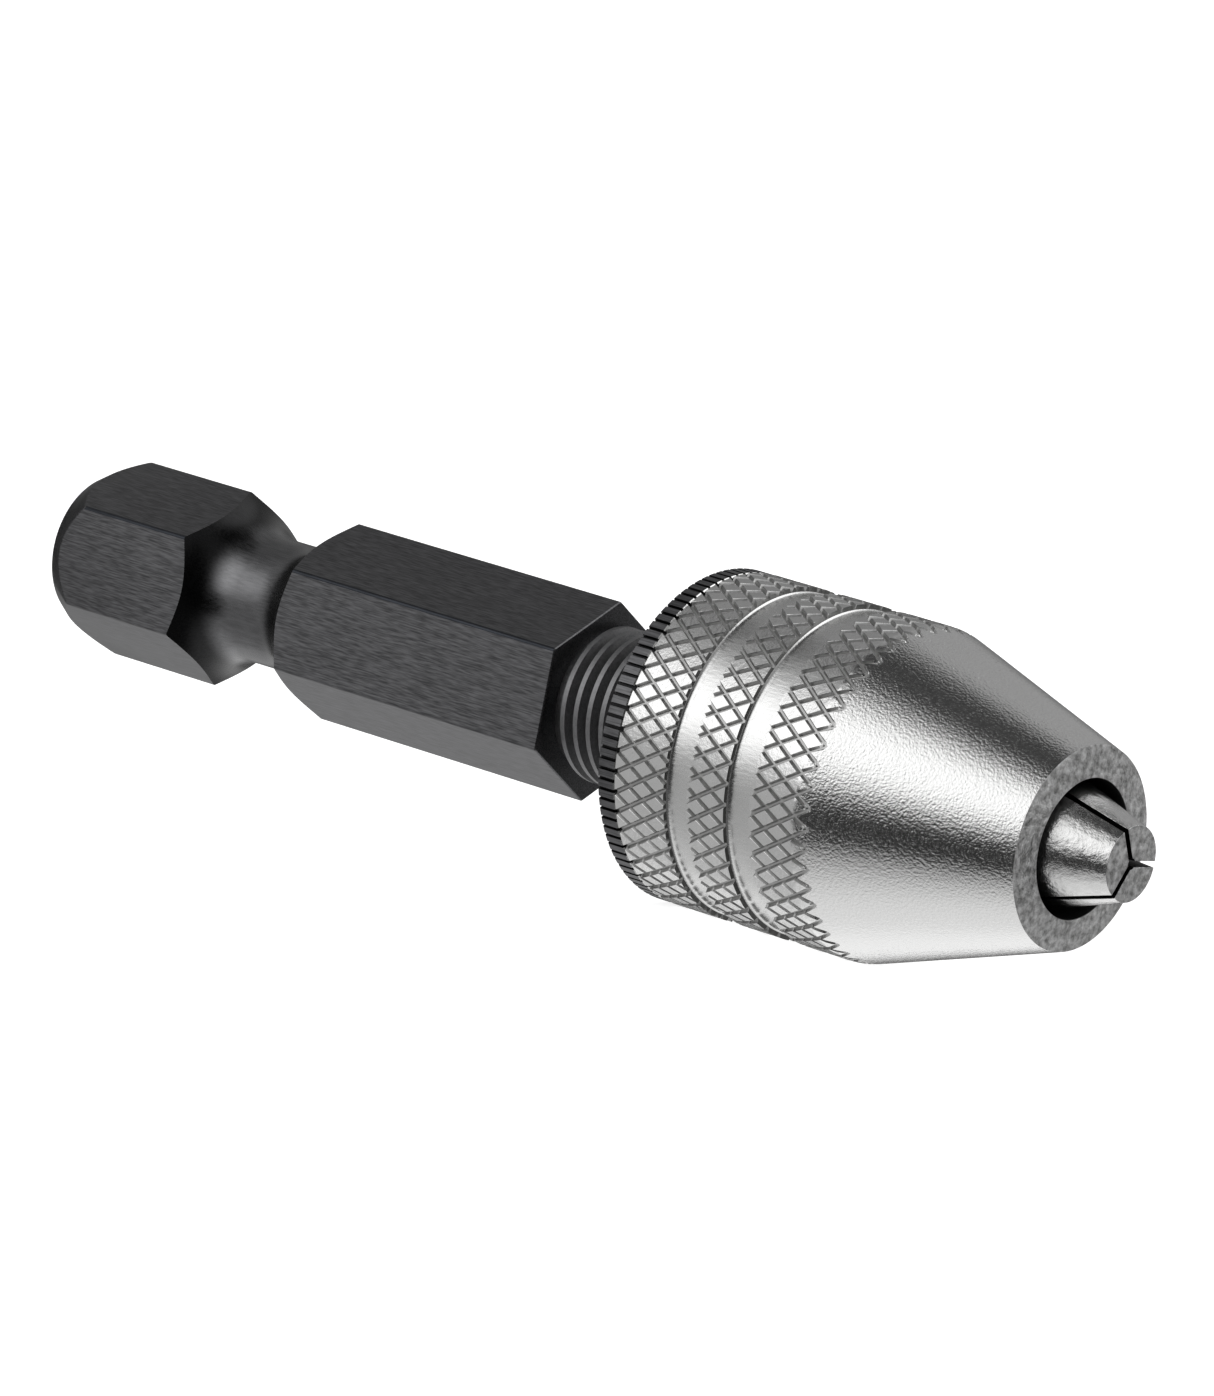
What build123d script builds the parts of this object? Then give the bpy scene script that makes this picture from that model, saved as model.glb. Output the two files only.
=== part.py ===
from build123d import *
from math import acos, cos, radians, sin, sqrt, tan
import os

# Keyless three-jaw micro chuck on a 1/4 inch hex shank. Millimetres.
# X runs along the chuck from the shank's rear face to the jaws, and Z is up
# through a corner of the hexagon. The origin is the centre of the rear face.
# A radius is written as r and a place along the axis as x.

# Hex shank
HEX_FLATS = 6.35
HEX_CORNER_RADIUS = 0.35
HEX_LENGTH = 24.7
REAR_FACE_RADIUS = 2.78
REAR_CHAMFER_ANGLE = 30.0
GROOVE_CENTRE = 9.32
GROOVE_NECK_RADIUS = 2.36
GROOVE_NECK_LENGTH = 1.04
GROOVE_FLANK_RADIUS = 2.5
GROOVE_OUTER_RADIUS = 3.8

# Thread on the front of the shank
THREAD_PITCH = 0.6
THREAD_MAJOR_RADIUS = 2.85
THREAD_MINOR_RADIUS = 2.5
THREAD_CREST = 0.2
THREAD_ROOT = 0.44
THREAD_BURIED = 0.12
THREAD_RUN_OUT = 0.5
THREAD_START_ANGLE = 111.0
SHANK_LENGTH = 39.2
SHANK_BORE_RADIUS = 1.9
SHANK_BORE_DEPTH = 12.0

# Sleeve, the knurled nose shell
SLEEVE_REAR = 30.6
SLEEVE_FRONT = 46.59
SLEEVE_RADIUS = 6.06
SLEEVE_CAVITY_RADIUS = 5.2
RING_DEPTH = 0.23
RING_SPANS = ((32.87, 33.92), (35.6, 36.75))
NOSE_CONE_START = 38.8
NOSE_FACE_RADIUS = 3.63
NOSE_BLEND = 1.5
MOUTH_RADIUS = 2.5

# Rear nut, pressed into the back of the sleeve
NUT_REAR = 29.83
NUT_FRONT = 33.6
NUT_RIM_RADIUS = 6.03
NUT_BORE_RADIUS = 2.9
RIM_SLOTS = 100
RIM_SLOT_WIDTH = 0.1
RIM_SLOT_DEPTH = 0.14

# Jaws, drawn as they stand with the chuck all but closed
CONE_ANGLE = 17.5
JAW_FRONT = 48.72
JAW_TIP_RADIUS = 1.286
JAW_REAR_RADIUS = 3.4
JAW_OFFSET = 0.09
GRIP_RADIUS = 0.2
JAW_ANGLES = (90.0, 210.0, 330.0)
CONE_CLEARANCE = 0.02

# Thrust washer between the shank's end and the jaws
WASHER_THICKNESS = 0.6
WASHER_RADIUS = 3.9
WASHER_BORE_RADIUS = 1.95
END_CLEARANCE = 0.02

# Springs that part the jaws, in blind holes in the jaws' side faces
SPRING_HOLE_RADIUS = 0.5
SPRING_HOLE_DEPTH = 1.1
SPRING_HOLE_OFFSET = 2.2
SPRING_HOLE_X = 41.2
SPRING_RADIUS = 0.38
SPRING_WIRE_RADIUS = 0.06
SPRING_TURNS = 6
SPRING_END_CLEARANCE = 0.03

SLOPE = tan(radians(CONE_ANGLE))
WASHER_REAR = SHANK_LENGTH + END_CLEARANCE
JAW_REAR = WASHER_REAR + WASHER_THICKNESS + END_CLEARANCE
OVERSIZE = 8.0


def turned(outline):
    """Revolve a closed outline of (x, r) points about the X axis."""
    return revolve(make_face(Polyline(*outline, close=True)), Axis.X)


def rod(x_from, x_to, r):
    """A cylinder on the X axis."""
    return turned([(x_from, 0), (x_from, r), (x_to, r), (x_to, 0)])


def about_x(part, angle):
    """Turn a part about the X axis, from +Z towards -Y."""
    return Rot(angle, 0, 0) * part


def hex_bar():
    """The hexagonal bar, with a corner up and rounded edges."""
    corners = RegularPolygon(HEX_FLATS / 2, 6, major_radius=False, rotation=30)
    section = fillet(corners.vertices(), HEX_CORNER_RADIUS)
    return extrude(Plane.YZ * section, HEX_LENGTH)


def rear_chamfer():
    """What the lathe takes off the bar's rear end."""
    run = (OVERSIZE - REAR_FACE_RADIUS) / tan(radians(REAR_CHAMFER_ANGLE))
    return turned([(0, REAR_FACE_RADIUS), (run, OVERSIZE), (0, OVERSIZE)])


def ball_groove():
    """The ring groove for the driver's locking ball: a neck between two concave flanks."""
    arc_centre_r = GROOVE_NECK_RADIUS + GROOVE_FLANK_RADIUS
    sweep_angle = acos((arc_centre_r - GROOVE_OUTER_RADIUS) / GROOVE_FLANK_RADIUS)

    def flank_point(side, angle):
        x = GROOVE_CENTRE + side * (GROOVE_NECK_LENGTH / 2 + GROOVE_FLANK_RADIUS * sin(angle))
        return (x, arc_centre_r - GROOVE_FLANK_RADIUS * cos(angle))

    rear = [flank_point(-1, sweep_angle * step / 2) for step in (2, 1, 0)]
    front = [flank_point(1, sweep_angle * step / 2) for step in (0, 1, 2)]
    edges = [
        ThreePointArc(*rear),
        Line(rear[2], front[0]),
        ThreePointArc(*front),
        Line(front[2], rear[0]),
    ]
    return revolve(make_face(edges), Axis.X)


def thread_ridge():
    """The right-hand thread's helical ridge, from inside the hexagon to near the shank's end."""
    start = HEX_LENGTH - THREAD_PITCH
    length = SHANK_LENGTH - THREAD_RUN_OUT - start
    path = Helix(THREAD_PITCH, length, THREAD_MINOR_RADIUS, center=(start, 0, 0), direction=(1, 0, 0))
    begin = path @ 0
    radial = Vector(0, begin.Y, begin.Z).normalized()
    height = THREAD_MAJOR_RADIUS - THREAD_MINOR_RADIUS
    half_crest = THREAD_CREST / 2
    half_base = half_crest + (THREAD_ROOT - THREAD_CREST) / 2 * (height + THREAD_BURIED) / height
    section = make_face(
        Polyline(
            (-THREAD_BURIED, -half_base),
            (height, -half_crest),
            (height, half_crest),
            (-THREAD_BURIED, half_base),
            close=True,
        )
    )
    section_plane = Plane(origin=begin, x_dir=radial, z_dir=path % 0)
    return about_x(sweep(section_plane * section, path, is_frenet=True), THREAD_START_ANGLE)


def shank_bore():
    """The blind hole in the shank's front end that long drill shanks run into."""
    bottom = SHANK_LENGTH - SHANK_BORE_DEPTH
    point = SHANK_BORE_RADIUS / tan(radians(59))
    return turned(
        [
            (bottom - point, 0),
            (bottom, SHANK_BORE_RADIUS),
            (SHANK_LENGTH, SHANK_BORE_RADIUS),
            (SHANK_LENGTH, 0),
        ]
    )


def hex_shank():
    """Hex bar, ball groove, thread and bore: one turned and milled piece of steel."""
    edge = 0.15
    core = turned(
        [
            (HEX_LENGTH - edge, 0),
            (HEX_LENGTH - edge, THREAD_MINOR_RADIUS),
            (SHANK_LENGTH - edge, THREAD_MINOR_RADIUS),
            (SHANK_LENGTH, THREAD_MINOR_RADIUS - edge),
            (SHANK_LENGTH, 0),
        ]
    )
    bar = hex_bar() - rear_chamfer() - ball_groove()
    return bar + (core + thread_ridge()) - shank_bore()


def cone_place(r):
    """Where along the axis the inner cone has this radius."""
    return JAW_FRONT - (r - JAW_TIP_RADIUS - JAW_OFFSET - CONE_CLEARANCE) / SLOPE


def sleeve():
    """The nose shell: ring grooves and cone outside, cavity, inner cone and mouth inside."""
    ring_radius = SLEEVE_RADIUS - RING_DEPTH
    edge = 0.05
    outline = [(SLEEVE_REAR, SLEEVE_RADIUS - edge), (SLEEVE_REAR + edge, SLEEVE_RADIUS)]
    for rear, front in RING_SPANS:
        outline += [(rear, SLEEVE_RADIUS), (rear, ring_radius), (front, ring_radius), (front, SLEEVE_RADIUS)]
    outline += [
        (NOSE_CONE_START, SLEEVE_RADIUS),
        (SLEEVE_FRONT - edge, NOSE_FACE_RADIUS),
        (SLEEVE_FRONT, NOSE_FACE_RADIUS - edge),
        (SLEEVE_FRONT, MOUTH_RADIUS + edge),
        (SLEEVE_FRONT - edge, MOUTH_RADIUS),
        (cone_place(MOUTH_RADIUS), MOUTH_RADIUS),
        (cone_place(SLEEVE_CAVITY_RADIUS), SLEEVE_CAVITY_RADIUS),
        (SLEEVE_REAR, SLEEVE_CAVITY_RADIUS),
    ]
    face = make_face(Polyline(*outline, close=True))
    shoulder = face.vertices().sort_by_distance((NOSE_CONE_START, SLEEVE_RADIUS, 0))[0]
    return revolve(fillet(shoulder, NOSE_BLEND), Axis.X)


def rear_nut():
    """Threaded bushing with a slotted rim, pressed into the sleeve's cavity."""
    edge = 0.05
    chamfer = 0.3
    nut = turned(
        [
            (NUT_REAR, NUT_BORE_RADIUS + chamfer),
            (NUT_REAR, NUT_RIM_RADIUS - edge),
            (NUT_REAR + edge, NUT_RIM_RADIUS),
            (SLEEVE_REAR, NUT_RIM_RADIUS),
            (SLEEVE_REAR, SLEEVE_CAVITY_RADIUS),
            (NUT_FRONT - chamfer, SLEEVE_CAVITY_RADIUS),
            (NUT_FRONT, SLEEVE_CAVITY_RADIUS - chamfer),
            (NUT_FRONT, NUT_BORE_RADIUS + chamfer),
            (NUT_FRONT - chamfer, NUT_BORE_RADIUS),
            (NUT_REAR + chamfer, NUT_BORE_RADIUS),
        ]
    )
    slot = Box(2 * (SLEEVE_REAR - NUT_REAR), RIM_SLOT_WIDTH, 2 * RIM_SLOT_DEPTH)
    slot = Pos(NUT_REAR, 0, NUT_RIM_RADIUS) * slot
    slots = [about_x(slot, 360 * number / RIM_SLOTS) for number in range(RIM_SLOTS)]
    return nut - slots


def thrust_washer():
    """Hard washer that turns on the shank's end and pushes the jaws forward."""
    edge = 0.1
    front = WASHER_REAR + WASHER_THICKNESS
    return turned(
        [
            (WASHER_REAR, WASHER_BORE_RADIUS),
            (WASHER_REAR, WASHER_RADIUS - edge),
            (WASHER_REAR + edge, WASHER_RADIUS),
            (front - edge, WASHER_RADIUS),
            (front, WASHER_RADIUS - edge),
            (front, WASHER_BORE_RADIUS),
        ]
    )


def jaw_wedge():
    """A third of the space round the axis, centred on +Z."""
    side = OVERSIZE * sin(radians(60))
    rise = OVERSIZE * cos(radians(60))
    section = make_face(Polyline((0, 0), (side, rise), (0, 2 * rise), (-side, rise), close=True))
    return extrude(Plane.YZ.offset(JAW_REAR - 1) * section, JAW_FRONT - JAW_REAR + 2)


def spring_hole(side):
    """A blind hole square to one side face of the jaw centred on +Z."""
    along = Vector(0, side * sin(radians(60)), cos(radians(60)))
    outward = Vector(0, side * cos(radians(60)), -sin(radians(60)))
    mouth = Vector(SPRING_HOLE_X, 0, JAW_OFFSET) + along * SPRING_HOLE_OFFSET
    drill = Cylinder(SPRING_HOLE_RADIUS, 2 * SPRING_HOLE_DEPTH)
    return Plane(origin=mouth, x_dir=(1, 0, 0), z_dir=outward) * drill


def jaw(angle):
    """One of three jaws: a third of a pointed cone, moved out from the axis by the offset."""
    edge = 0.15
    profile = turned(
        [
            (JAW_REAR, 0),
            (JAW_REAR, JAW_REAR_RADIUS - edge),
            (JAW_REAR + edge, JAW_REAR_RADIUS),
            (JAW_FRONT - (JAW_REAR_RADIUS - JAW_TIP_RADIUS) / SLOPE, JAW_REAR_RADIUS),
            (JAW_FRONT, JAW_TIP_RADIUS),
            (JAW_FRONT, 0),
        ]
    )
    blank = Pos(0, 0, JAW_OFFSET) * (profile & jaw_wedge())
    grip = rod(JAW_REAR - 1, JAW_FRONT + 1, GRIP_RADIUS)
    return about_x(blank - grip - spring_hole(1) - spring_hole(-1), angle)


def jaw_spring(angle):
    """The coil spring in the gap at this angle, seated in the holes on both sides of it."""
    seat_to_seat = 2 * SPRING_HOLE_DEPTH + sqrt(3) * JAW_OFFSET
    length = seat_to_seat - 2 * SPRING_END_CLEARANCE - 2 * SPRING_WIRE_RADIUS
    radius_out = SPRING_HOLE_OFFSET + JAW_OFFSET / 2
    path = Helix(
        length / SPRING_TURNS,
        length,
        SPRING_RADIUS,
        center=(SPRING_HOLE_X, length / 2, radius_out),
        direction=(0, -1, 0),
    )
    section_plane = Plane(origin=path @ 0, z_dir=path % 0)
    coil = sweep(section_plane * Circle(SPRING_WIRE_RADIUS), path, is_frenet=True)
    return about_x(coil, angle)


def build():
    """Every piece of the chuck by its node name."""
    pieces = {
        "hex_shank": hex_shank(),
        "sleeve": sleeve(),
        "rear_nut": rear_nut(),
        "thrust_washer": thrust_washer(),
    }
    for number, angle in enumerate(JAW_ANGLES, start=1):
        pieces[f"jaw_{number}"] = jaw(angle)
        pieces[f"jaw_spring_{number}"] = jaw_spring(angle + 60)
    return pieces


os.makedirs("parts", exist_ok=True)
for name, piece in build().items():
    export_step(piece, f"parts/{name}.step")
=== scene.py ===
from math import acos, cos, degrees, pi, radians, sin, sqrt, tan

import bmesh
import bpy
from mathutils import Matrix, Vector


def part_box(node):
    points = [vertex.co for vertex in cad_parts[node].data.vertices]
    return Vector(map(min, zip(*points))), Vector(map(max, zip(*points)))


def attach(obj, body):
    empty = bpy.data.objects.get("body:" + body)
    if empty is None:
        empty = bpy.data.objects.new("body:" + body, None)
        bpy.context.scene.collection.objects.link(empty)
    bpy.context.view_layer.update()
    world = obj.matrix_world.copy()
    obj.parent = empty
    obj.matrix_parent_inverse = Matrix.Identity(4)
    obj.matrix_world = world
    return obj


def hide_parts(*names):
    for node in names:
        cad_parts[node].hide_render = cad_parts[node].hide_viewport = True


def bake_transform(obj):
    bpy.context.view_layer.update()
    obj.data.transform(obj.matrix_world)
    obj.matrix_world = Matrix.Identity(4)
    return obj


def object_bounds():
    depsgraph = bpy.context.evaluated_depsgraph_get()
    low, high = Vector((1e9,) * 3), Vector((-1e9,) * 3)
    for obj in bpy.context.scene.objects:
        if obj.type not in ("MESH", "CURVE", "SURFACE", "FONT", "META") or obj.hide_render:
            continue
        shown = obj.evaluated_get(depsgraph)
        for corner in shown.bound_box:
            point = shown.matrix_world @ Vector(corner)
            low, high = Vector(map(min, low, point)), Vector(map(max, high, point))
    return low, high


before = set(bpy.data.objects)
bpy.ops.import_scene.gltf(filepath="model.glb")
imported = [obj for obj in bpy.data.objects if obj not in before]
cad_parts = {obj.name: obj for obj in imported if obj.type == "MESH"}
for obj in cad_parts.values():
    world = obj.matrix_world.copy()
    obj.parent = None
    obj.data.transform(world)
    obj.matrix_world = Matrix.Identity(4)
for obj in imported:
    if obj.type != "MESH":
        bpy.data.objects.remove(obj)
cad_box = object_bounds()

# Keyless micro chuck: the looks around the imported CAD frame. Lengths are written in
# millimetres and turned into metres by MM. X runs from the shank's rear face to the jaws.
# An angle about the axis is in degrees from +Z towards -Y.
MM = 0.001


def measured(node, axis):
    """A CAD node's lowest and highest place along an axis, in millimetres to the micrometre."""
    return [round(corner["XYZ".index(axis)] / MM, 3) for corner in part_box(node)]


# From the CAD model: where pieces start and end along the axis, and how far out they reach
SHANK_END = measured("hex_shank", "X")[1]
HEX_APOTHEM = measured("hex_shank", "Y")[1]
SLEEVE_REAR, SLEEVE_FRONT = measured("sleeve", "X")
SLEEVE_RADIUS = measured("sleeve", "Y")[1]
NUT_REAR, NUT_FRONT = measured("rear_nut", "X")
JAW_REAR, JAW_FRONT = measured("jaw_1", "X")
SPRING_X = round(sum(measured("jaw_spring_1", "X")) / 2, 3)

# Hex shank
HEX_CORNER = 0.13
HEX_LENGTH = 24.7
REAR_FACE_RADIUS = 2.78
REAR_FACE_START = 1.2
REAR_CHAMFER = radians(30)
REAR_EDGE = 0.05
FRONT_EDGE = 0.04
GROOVE_CENTRE = 9.32
GROOVE_NECK_RADIUS = 2.36
GROOVE_NECK_HALF = 0.52
GROOVE_FLANK = 2.5
GROOVE_STEPS = 12
GROOVE_REACH = 3.2
# Painted shade: the ball groove's colour is darkened up its flanks, between these distances
# from its centre, to this share of its colour
FLANK_SHADE_START = 1.0
FLANK_SHADE_END = 1.9
FLANK_SHADE_SHARE = 0.15
THREAD_PITCH = 0.6
THREAD_MAJOR = 2.85
THREAD_MINOR = 2.5
THREAD_CREST_HALF = 0.1
THREAD_ROOT_HALF = 0.22
# A place on the crest of the thread
THREAD_CREST_X = 25.33
THREAD_CREST_ANGLE = 90.0
THREAD_START = 24.86
THREAD_FADE = 0.2
THREAD_BEVEL = 0.15
THREAD_END = round(SHANK_END - THREAD_BEVEL, 3)
BORE_RADIUS = 1.9
BORE_EDGE = 0.05
BORE_BOTTOM = 27.2
BORE_POINT = 26.06
BORE_POINT_RADIUS = 0.01

# Sleeve
CAVITY_RADIUS = 5.2
CAVITY_END = 36.66
MOUTH_RADIUS = 2.5
MOUTH_START = 45.22
CONE_START = 38.8
CONE_BLEND = 1.5
CONE_MARGIN = 0.1
CONE_RINGS = 8
NOSE_RADIUS = 3.63
NOSE_EDGE = 0.012
NOSE_CROWN = 0.08
NOSE_RINGS = 6
# How far below the outside two counts of vertices meet, in the sleeve's rear face
SEAM_OUTER = 0.25
SEAM_INNER = 0.3
RING_DEPTH = 0.26
# The hollow at the foot of a ring groove's rear wall: distance from the wall, height over the floor
RING_FILLET = ((0.0, 0.09), (0.03, 0.05), (0.07, 0.025), (0.13, 0.008), (0.2, 0.0))

# Diamond knurl: two crossing families of grooves. KNURL_LEAD is how far along the axis a
# groove runs in one spacing round it, and two grooves cross at KNURL_X and KNURL_ANGLE
KNURL_COUNT = 50
KNURL_LEAD = 1.231
KNURL_X = 31.27
KNURL_ANGLE = 76.4
KNURL_DEPTH = 0.15
GROOVE_TOP_HALF = 0.09
GROOVE_BOTTOM_HALF = 0.036
EDGE_BREAK = 0.008
REAR_BEVEL = 0.04
KNURL_BANDS = ((30.64, 32.87), (33.93, 35.6), (36.74, 39.6))
# Where the last band is divided, so that it follows the blend into the cone
BLEND_CUTS = [38.45, 38.57, 38.68, 38.8, 38.91, 39.02, 39.12, 39.22, 39.3, 39.4]

# Rear nut. Its rim's rings reach in by RIM_REACH, a slot's wall leans by SLOT_WALL_TURN
# degrees, and a face deeper than SLOT_SHADE is in a slot
NUT_EDGE = 0.05
NUT_BEVEL = 0.3
NUT_BORE = 2.9
NUT_FACE_RUN = 2.4
HUB_CLEARANCE = 0.02
RIM_RADIUS = 6.05
RIM_REACH = 0.35
RIM_GAP = 0.005
RIM_SLOTS = 100
SLOT_HALF = 0.05
SLOT_DEPTH = 0.14
SLOT_WALL_TURN = 0.12
SLOT_SHADE = 0.03

# Jaws
JAW_ANGLES = (90.0, 210.0, 330.0)
JAW_HALF = 60
JAW_TURN = 5
JAW_TIP_RADIUS = 1.286
JAW_REAR_RADIUS = 3.4
JAW_REAR_EDGE = 0.15
JAW_EDGE = 0.01
JAW_RELIEF = 0.03
JAW_OFFSET = 0.09
CONE_SLOPE = tan(radians(17.5))
GRIP_RADIUS = 0.2
HOLE_RADIUS = 0.5
HOLE_DEPTH = 1.1
HOLE_OUT = 2.2
HOLE_SIDES = 24

# Jaw springs
SPRING_OUT = 2.245
SPRING_SPAN = 2.3
SPRING_RADIUS = 0.38
SPRING_WIRE = 0.06
SPRING_TURNS = 6
SPRING_TURN_STEPS = 28
SPRING_WIRE_SIDES = 10
SPRING_EASE = 0.9

# Mesh lines round the sleeve, and round one side of the hexagon: in degrees from a corner
ROUND_STEPS = 360
CORNER_STEPS = [0.3 * step for step in range(-4, 5)]
# Half the angle, in degrees, of the painted-shade strip on a corner
SHADED_CORNER_HALF = 1.25
FLAT_START = 2
FLAT_STEPS = 24

# How near two points count as one, a point counts as on a plane, and a face counts as on a flat
WELD_DISTANCE = 2e-4
PLANE_DISTANCE = 1e-3
FLAT_DISTANCE = 0.01

# Material slots: of the sleeve and the jaws, then of the shank, then of the nut
OUTSIDE_FACES, FRONT_FACES, SHADED_INSIDE_FACES, SHADED_GROOVE_FACES, CONE_FACES, RING_FACES, SHADED_WALL_FACES = range(7)
FLAT_FACES, SHADED_CORNER_FACES, TURNED_FACES, LIT_THREAD_FACES = range(4)
RIM_FACES, SHADED_SLOT_FACES, HIGHLIGHT_EDGE_FACES = range(3)


# ---------------------------------------------------------------- mesh helpers

def on_axis(x, r, angle):
    """The point at this place along the axis, radius and angle, in millimetres."""
    turn = radians(angle)
    return Vector((x, -r * sin(turn), r * cos(turn)))


def finished(name, bm, smooth_angle=30.0):
    """A piece made from a bmesh drawn in millimetres, smooth but for its real edges."""
    bmesh.ops.remove_doubles(bm, verts=bm.verts, dist=WELD_DISTANCE)
    bmesh.ops.dissolve_degenerate(bm, edges=bm.edges, dist=WELD_DISTANCE / 2)
    bmesh.ops.recalc_face_normals(bm, faces=bm.faces)
    mesh = bpy.data.meshes.new(name)
    bm.to_mesh(mesh)
    bm.free()
    mesh.transform(Matrix.Scale(MM, 4))
    mesh.shade_smooth()
    mesh.set_sharp_from_angle(angle=radians(smooth_angle))
    piece = bpy.data.objects.new(name, mesh)
    bpy.context.scene.collection.objects.link(piece)
    return piece


def add_ring(bm, x, r, angles):
    """A closed ring of vertices about the axis."""
    return [bm.verts.new(on_axis(x, r, angle)) for angle in angles]


def join_rings(bm, ring, other, material=0):
    """Quads between two rings of the same count."""
    count = len(ring)
    for i in range(count):
        j = (i + 1) % count
        face = bm.faces.new((ring[i], ring[j], other[j], other[i]))
        face.material_index = material


def lathe(bm, ring, stations, angles, material=0):
    """Carry a ring on through (x, r) stations. Returns the last ring."""
    for x, r in stations:
        following = add_ring(bm, x, r, angles)
        join_rings(bm, ring, following, material)
        ring = following
    return ring


def angle_at(point):
    """The point's angle about the axis, in degrees from 0 to 360."""
    return degrees(Vector((point.z, -point.y)).angle_signed(Vector((1, 0)), 0)) % 360


def angle_of(vertex):
    """The vertex's angle about the axis, in degrees from 0 to 360."""
    return angle_at(vertex.co)


def zip_rings(bm, ring, other, material=0):
    """Triangles between two rings whose vertices differ in number and angle."""
    ring = sorted(ring, key=angle_of)
    other = sorted(other, key=angle_of)
    i = j = 0
    while i < len(ring) or j < len(other):
        next_i = angle_of(ring[(i + 1) % len(ring)]) + 360 * ((i + 1) // len(ring))
        next_j = angle_of(other[(j + 1) % len(other)]) + 360 * ((j + 1) // len(other))
        a, b = ring[i % len(ring)], other[j % len(other)]
        if j >= len(other) or (i < len(ring) and next_i <= next_j):
            i += 1
            corners = (a, ring[i % len(ring)], b)
        else:
            j += 1
            corners = (a, other[j % len(other)], b)
        if len(set(corners)) == 3:
            bm.faces.new(corners).material_index = material


def cut_corners(points, width):
    """A line of (x, r) points with each inner corner replaced by a small flat."""
    most_of_run = 0.3
    out = [points[0]]
    for before, corner, after in zip(points, points[1:], points[2:]):
        middle = Vector(corner)
        for end in (Vector(before), Vector(after)):
            run = end - middle
            out.append(tuple(middle + run * min(width / max(run.length, WELD_DISTANCE), most_of_run)))
    out.append(points[-1])
    return out


# ---------------------------------------------------------------- hex shank

def hex_radius(angle):
    """Distance from the axis to the hexagon, with a rounded corner every 60 degrees."""
    off = radians((angle + 30) % 60 - 30)
    middle = (HEX_APOTHEM - HEX_CORNER) / cos(radians(30))
    touch = Vector((middle + HEX_CORNER * cos(radians(30)), HEX_CORNER / 2)).angle(Vector((1, 0)))
    if abs(off) < touch:
        return middle * cos(off) + sqrt(HEX_CORNER ** 2 - (middle * sin(off)) ** 2)
    return HEX_APOTHEM / cos(radians(30) - abs(off))


def shank_angles():
    """Angles round the shank, closer together on the rounded corners."""
    flat_run = 60 - 2 * FLAT_START
    flat_steps = [FLAT_START + flat_run * step / FLAT_STEPS for step in range(FLAT_STEPS + 1)]
    return [60 * side + step for side in range(6) for step in CORNER_STEPS + flat_steps]


def shank_profile(angle):
    """(x, r) points along the hexagonal part at one angle, from rear face to front face."""
    height = hex_radius(angle)
    arc_middle = GROOVE_NECK_RADIUS + GROOVE_FLANK
    reach = acos((arc_middle - height) / GROOVE_FLANK)

    def flank(side, part):
        turn = reach * part
        x = GROOVE_CENTRE + side * (GROOVE_NECK_HALF + GROOVE_FLANK * sin(turn))
        return (x, arc_middle - GROOVE_FLANK * cos(turn))

    chamfer_end = ((height - REAR_FACE_RADIUS) / tan(REAR_CHAMFER), height)
    rear_face = [(0, REAR_FACE_START), (0, REAR_FACE_RADIUS)]
    rear = cut_corners([*rear_face, chamfer_end, flank(-1, 1)], REAR_EDGE)
    groove = [flank(-1, 1 - step / GROOVE_STEPS) for step in range(1, GROOVE_STEPS + 1)]
    groove += [flank(1, step / GROOVE_STEPS) for step in range(GROOVE_STEPS)]
    front = cut_corners([flank(1, 1), (HEX_LENGTH, height), (HEX_LENGTH, THREAD_MINOR)], FRONT_EDGE)
    return rear + groove + front


def thread_points(angle):
    """(x, r) points along the thread at one angle: four for each turn."""
    points = []
    turns = int((THREAD_END - HEX_LENGTH) / THREAD_PITCH) + 3
    for turn in range(-2, turns):
        crest = THREAD_CREST_X + THREAD_PITCH * ((angle - THREAD_CREST_ANGLE) / 360 + turn)
        rise = min(1, max(0, (crest - THREAD_START) / THREAD_FADE))
        for x, r in (
            (crest - THREAD_ROOT_HALF, THREAD_MINOR),
            (crest - THREAD_CREST_HALF, THREAD_MAJOR),
            (crest + THREAD_CREST_HALF, THREAD_MAJOR),
            (crest + THREAD_ROOT_HALF, THREAD_MINOR),
        ):
            height = (r - THREAD_MINOR) * rise if x < THREAD_END else 0
            points.append((min(max(x, HEX_LENGTH), THREAD_END), THREAD_MINOR + height))
    return points


def shank_slot(face):
    """The material slot of a face of the shank, from where it lies."""
    centre = face.calc_center_median()
    angle = angle_at(centre)
    if centre.x > HEX_LENGTH + PLANE_DISTANCE:
        return LIT_THREAD_FACES
    if centre.yz.length < hex_radius(angle) - FLAT_DISTANCE:
        return TURNED_FACES if abs(centre.x - GROOVE_CENTRE) < GROOVE_REACH else FLAT_FACES
    # Every other rounded corner takes the painted-shade corner metal
    return SHADED_CORNER_FACES if abs(angle % 120 - 60) < SHADED_CORNER_HALF else FLAT_FACES


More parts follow.
